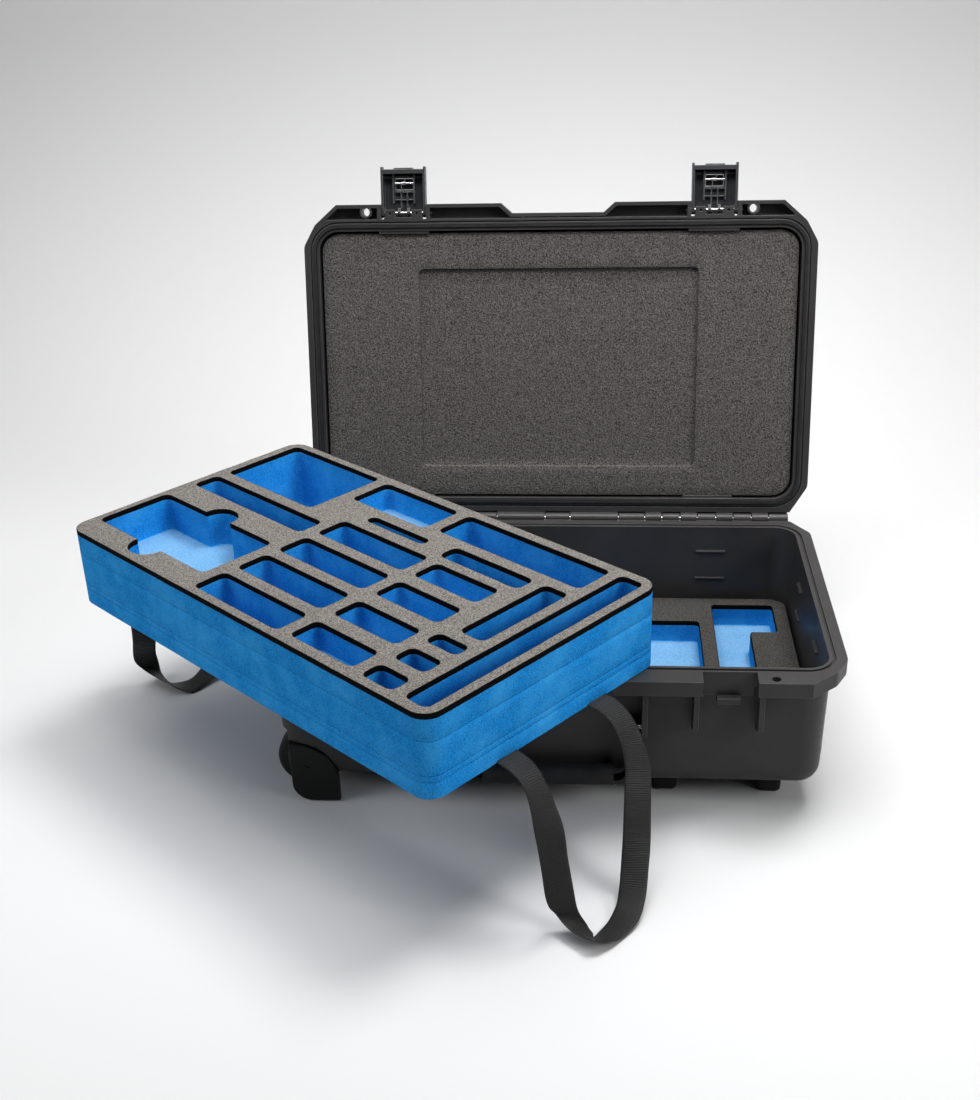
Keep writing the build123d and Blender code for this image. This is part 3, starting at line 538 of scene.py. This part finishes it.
# bottom foam, cut back beside the wheel wells
LOW_X, LOW_Y, LOW_R = 253.6, 141.2, 19.0
WELL_X, WELL_Y = -188.6, 106.2
BASE_DEPTH = 132.0
bottom_top = PARTING_Z - 86.5
bottom_low = PARTING_Z - BASE_DEPTH + 0.8
bottom_outline = rounded_outline(
    [
        (-LOW_X, -WELL_Y, LOW_R), (WELL_X, -WELL_Y, 4), (WELL_X, -LOW_Y, LOW_R), (LOW_X, -LOW_Y, LOW_R),
        (LOW_X, LOW_Y, LOW_R), (WELL_X, LOW_Y, LOW_R), (WELL_X, WELL_Y, 4), (-LOW_X, WELL_Y, LOW_R),
    ]
)
LOW_POCKET = 25.0  # depth of the bottom foam's pockets
bottom_pockets = [
    (rounded_outline(rectangle(-1, 156, -70.5, 88.5, 5)), LOW_POCKET),
    (
        rounded_outline(
            [
                (172, -80, 4), (209.3, -80, 4), (209.3, 67.2, 4), (238.5, 67.2, 4),
                (238.5, 125.6, 4), (172, 125.6, 4),
            ]
        ),
        LOW_POCKET,
    ),
]
# the bottom skin takes the foam_deep finish, the skin foam darkened as painted shade
foam_skin(
    "bottom_skin_sheet", FLAT, bottom_outline, bottom_pockets, bottom_top, bottom_top - SKIN, "base",
    ["bottom_foam_skin"], "foam_deep",
)
foam_body(
    "bottom_foam_block", FLAT, bottom_outline, [(loop, depth - SKIN) for loop, depth in bottom_pockets],
    bottom_top - SKIN - GLUE, bottom_low, "base", ["bottom_foam", "bottom_foam_floor"], "foam_blue",
    ("foam_blue", "foam_floor"),
    heel=17.0,
)

# lid foam, with a shallow recess
LID_FOAM_TOP, LID_FOAM_LOW = -5.0, -50.0
LID_GAP = 2.4  # lid foam to the lid's wall
RECESS_HALF_X, RECESS_HALF_Y, RECESS_MIDDLE = 151, 108.5, 166
RECESS_DEPTH, RECESS_R = 4.0, 5
lid_half_x, lid_half_y = CAVITY_X / 2 - LID_GAP, CAVITY_Y / 2 - LID_GAP
lid_outline = rounded_outline(
    rectangle(-lid_half_x, lid_half_x, HINGE_Y - lid_half_y, HINGE_Y + lid_half_y, CAVITY_R - 2), arc=10
)
recess_low, recess_high = RECESS_MIDDLE - RECESS_HALF_Y, RECESS_MIDDLE + RECESS_HALF_Y
recess = rounded_outline(rectangle(-RECESS_HALF_X, RECESS_HALF_X, recess_low, recess_high, RECESS_R))
foam_body(
    "lid_foam_block", LID, lid_outline, [(recess, RECESS_DEPTH)],
    LID_FOAM_TOP, LID_FOAM_LOW, "lid", ["lid_foam"],
    "foam_grey", ("foam_grey", "foam_grey", "foam_grey"), edge=1.0, heel=11.0,
)


# ---------------------------------------------------------------- webbing straps
RIB = 2.1  # from one rib of the webbing to the next
RIB_HEIGHT = 0.30


def spline(stations, t):
    """A point on the curve through the stations; t counts stations."""
    i = min(int(t), len(stations) - 2)
    a, b = stations[max(i - 1, 0)], stations[i]
    c, d = stations[i + 1], stations[min(i + 2, len(stations) - 1)]
    u = t - i
    return 0.5 * (2 * b + (c - a) * u + (2 * a - 5 * b + 4 * c - d) * u * u + (3 * b - a - 3 * c + d) * u**3)


def webbing(name, end, edges, replaced):
    """A ribbed webbing ribbon between two edge lines, given as (out, b, height above the floor)."""

    def world(out, b, height):
        flat = TRAY @ Vector((end * (TRAY_LENGTH / 2 + out), b, 0))
        return Vector((flat.x, flat.y, height))

    left = [world(*pair[0]) for pair in edges]
    right = [world(*pair[1]) for pair in edges]
    middle = [(a + b) / 2 for a, b in zip(left, right)]
    fine = 40
    samples = [k / fine for k in range((len(edges) - 1) * fine + 1)]
    trace = [(spline(left, t), spline(right, t)) for t in samples]
    length = [0.0]
    for (a, b), (c, d) in zip(trace, trace[1:]):
        length.append(length[-1] + ((c + d) / 2 - (a + b) / 2).length)
    total = length[-1]
    steps = int(total / (RIB / 6))
    rows = []
    index = 0
    for k in range(steps + 1):
        distance = total * k / steps
        while index < len(length) - 2 and length[index + 1] < distance:
            index += 1
        share = (distance - length[index]) / max(1e-9, length[index + 1] - length[index])
        a = trace[index][0].lerp(trace[index + 1][0], share)
        b = trace[index][1].lerp(trace[index + 1][1], share)
        rows.append(((a + b) / 2, (b - a).normalized(), distance))
    bm = bmesh.new()
    uv = bm.loops.layers.uv.new("UVMap")
    columns = 10
    rings = []
    for k, (centre, side, distance) in enumerate(rows):
        before, after = rows[max(k - 1, 0)][0], rows[min(k + 1, steps)][0]
        tangent = (after - before).normalized()
        normal = tangent.cross(side).normalized()
        rib = RIB_HEIGHT * math.sin(2 * math.pi * distance / RIB)
        ring = []
        for face in (1, -1):
            for c in range(columns + 1):
                across = (c / columns - 0.5) * 2 * face
                thin = 1 - 0.55 * abs(across) ** 10
                lift = face * (STRAP_THICK / 2 * thin + rib * thin - 0.15)
                point = centre + side * (across * STRAP_WIDTH / 2) + normal * lift
                ring.append((bm.verts.new(point * MM), across * STRAP_WIDTH / 2, distance))
        rings.append(ring)
    count = len(rings[0])
    for one, two in zip(rings, rings[1:]):
        for c in range(count):
            corners = (one[c - 1], one[c], two[c], two[c - 1])
            face = bm.faces.new([corner[0] for corner in corners])
            face.smooth = True
            for loop, corner in zip(face.loops, corners):
                loop[uv].uv = (corner[1], corner[2])
    bm.faces.new([corner[0] for corner in rings[0]])
    bm.faces.new([corner[0] for corner in reversed(rings[-1])])
    bmesh.ops.recalc_face_normals(bm, faces=bm.faces)
    mesh = bpy.data.meshes.new(name)
    bm.to_mesh(mesh)
    bm.free()
    mesh.materials.append(MATERIALS["webbing"])
    piece = bpy.data.objects.new(name, mesh)
    bpy.context.scene.collection.objects.link(piece)
    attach(piece, "tray")
    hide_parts(replaced)
    return piece


EXIT = PARTING_Z + TRAY_LIFT + 1.2
webbing(
    "strap_loop_right", 1,
    [
        ((-14, -70, EXIT), (-14, -45, EXIT)), ((2, -70, EXIT), (2, -45, EXIT)),
        ((18, -70, 159), (18, -45, 158)), ((29, -69, 151), (30, -44.5, 147)),
        ((35, -67, 130), (41, -44, 125)), ((38, -63, 96), (50, -43.5, 101)),
        ((42, -62, 60), (54, -41, 68)), ((44, -57, 29), (59, -38.5, 26)),
        ((49, -53, 18), (65, -34.5, 10)), ((67, -56, 14), (69.5, -33, 2.5)),
        ((80, -55.5, 14), (75, -35, 1.5)), ((91, -54, 16), (79, -38, 1.8)),
        ((98, -42, 9), (77, -27, 1.5)), ((99, -24, 3), (75, -14, 2)),
        ((96, 0, 6), (73, 0, 8)), ((86, 22, 14), (65, 14, 12)),
        ((76, 38, 30), (57, 26, 26)), ((68, 51, 48), (52, 33, 49)),
        ((60, 61, 82), (46, 41, 87)), ((52, 70, 105), (40, 49, 110)),
        ((42, 73, 128), (34, 49, 134)), ((30, 72, 148), (26, 47, 152)),
        ((16, 70, 160), (15, 45, 160)), ((2, 70, EXIT), (2, 45, EXIT)),
        ((-14, 70, EXIT), (-14, 45, EXIT)),
    ],
    "tray_strap_right",
)
webbing(
    "strap_loop_left", -1,
    [
        ((-14, -70, EXIT), (-14, -45, EXIT)), ((2, -70, EXIT), (2, -45, EXIT)),
        ((18, -70, 158), (16, -45, 158)), ((34, -71, 143), (31, -47, 143)),
        ((45, -71, 112), (39, -48, 110)), ((51, -68, 76), (38, -49, 76)),
        ((50, -71, 57), (36, -49.5, 56)), ((46, -74, 38), (32.5, -55, 39)),
        ((44, -66, 20), (46, -45, 9)), ((22, -62, 15), (36, -45.5, 1.8)),
        ((6, -59, 13), (23, -46.5, 1.8)), ((-5, -50, 5), (15, -37, 2)),
        ((-13, -42, 2.5), (10, -29, 5)), ((-12, -29, 3.5), (11, -19, 7)),
        ((-9, -7, 7), (15, -7, 11)), ((-2, 20, 24), (20, 8, 26)),
        ((6, 44, 52), (27, 26, 52)), ((16, 60, 86), (35, 40, 86)),
        ((24, 69, 118), (34, 46, 118)), ((24, 71, 142), (28, 46, 143)),
        ((14, 70, 158), (15, 45, 158)), ((2, 70, EXIT), (2, 45, EXIT)),
        ((-14, 70, EXIT), (-14, 45, EXIT)),
    ],
    "tray_strap_left",
)

# ---------------------------------------------------------------- studio
def sweep():
    """A pale floor that curves up into a backdrop."""
    start, radius, height = 0.66, 0.60, 3.2
    near, half_width = -3.5, 4.0
    line = [(near, 0.0), (start, 0.0)]
    line += [
        (start + radius * math.sin(a), radius - radius * math.cos(a))
        for a in (math.radians(k * 5) for k in range(1, 19))
    ]
    line.append((start + radius, height))
    bm = bmesh.new()
    sides = [[bm.verts.new((x, y, z)) for y, z in line] for x in (-half_width, half_width)]
    for i in range(len(line) - 1):
        face = bm.faces.new((sides[0][i], sides[1][i], sides[1][i + 1], sides[0][i + 1]))
        face.smooth = True
    mesh = bpy.data.meshes.new("studio_sweep")
    bm.to_mesh(mesh)
    bm.free()
    n = Nodes("studio_paper")
    n.set("Base Color", (0.525, 0.525, 0.526, 1))
    n.set("Roughness", 0.62)
    n.set("Specular IOR Level", 0.25)
    mesh.materials.append(n.material)
    floor = bpy.data.objects.new("studio_sweep", mesh)
    bpy.context.scene.collection.objects.link(floor)


def softbox(name, place, target, size, power, spread=180):
    """A rectangular area light that looks at a point."""
    light = bpy.data.lights.new(name, "AREA")
    light.shape = "RECTANGLE"
    light.size, light.size_y = size
    light.energy = power
    light.spread = math.radians(spread)
    lamp = bpy.data.objects.new(name, light)
    bpy.context.scene.collection.objects.link(lamp)
    lamp.location = place
    lamp.rotation_euler = (Vector(target) - Vector(place)).to_track_quat("-Z", "Y").to_euler()


sweep()
softbox("key", (0.7, 0.3, 2.6), (0, -0.1, 0.1), (0.8, 0.8), 40.0)
softbox("top", (-0.5, -0.2, 2.6), (-0.2, -0.2, 0), (2.2, 1.8), 38.0)
softbox("right", (1.8, -1.1, 1.3), (0.1, -0.2, 0.15), (1.0, 1.0), 4.4, 70)
softbox("left", (-2.1, -0.9, 1.5), (-0.2, -0.2, 0.1), (1.4, 1.0), 3.9, 80)
softbox("lid", (0.1, -0.2, 1.25), (0.05, 0.26, 0.5), (0.9, 0.25), 2.6, 100)
softbox("wall", (-0.2, 0.5, 1.35), (-0.1, 1.25, 0.65), (2.8, 0.3), 2.4)

world = bpy.data.worlds.new("studio")
world.use_nodes = True
background = world.node_tree.nodes["Background"]
background.inputs["Color"].default_value = (1, 1, 1, 1)
background.inputs["Strength"].default_value = 0.04
bpy.context.scene.world = world
display = bpy.context.scene.view_settings
display.view_transform = "Standard"
display.look = "None"
display.exposure = 0.32
display.gamma = 0.88

# ---------------------------------------------------------------- camera
yaw, pitch, roll = math.radians(-5.04), math.radians(26.72), math.radians(1.82)
forward = Vector((math.sin(yaw) * math.cos(pitch), math.cos(yaw) * math.cos(pitch), -math.sin(pitch)))
right = Vector((math.cos(yaw), -math.sin(yaw), 0))
down_view = forward.cross(right)
level_right = right * math.cos(roll) + down_view * math.sin(roll)
level_down = -right * math.sin(roll) + down_view * math.cos(roll)
data = bpy.data.cameras.new("view")
data.lens = 45.34
data.sensor_width = 36.0
camera = bpy.data.objects.new("view", data)
camera.matrix_world = Matrix((level_right, -level_down, -forward)).transposed().to_4x4()
camera.location = (0.04685, -1.2397, 0.83)
bpy.context.scene.collection.objects.link(camera)
bpy.context.scene.camera = camera
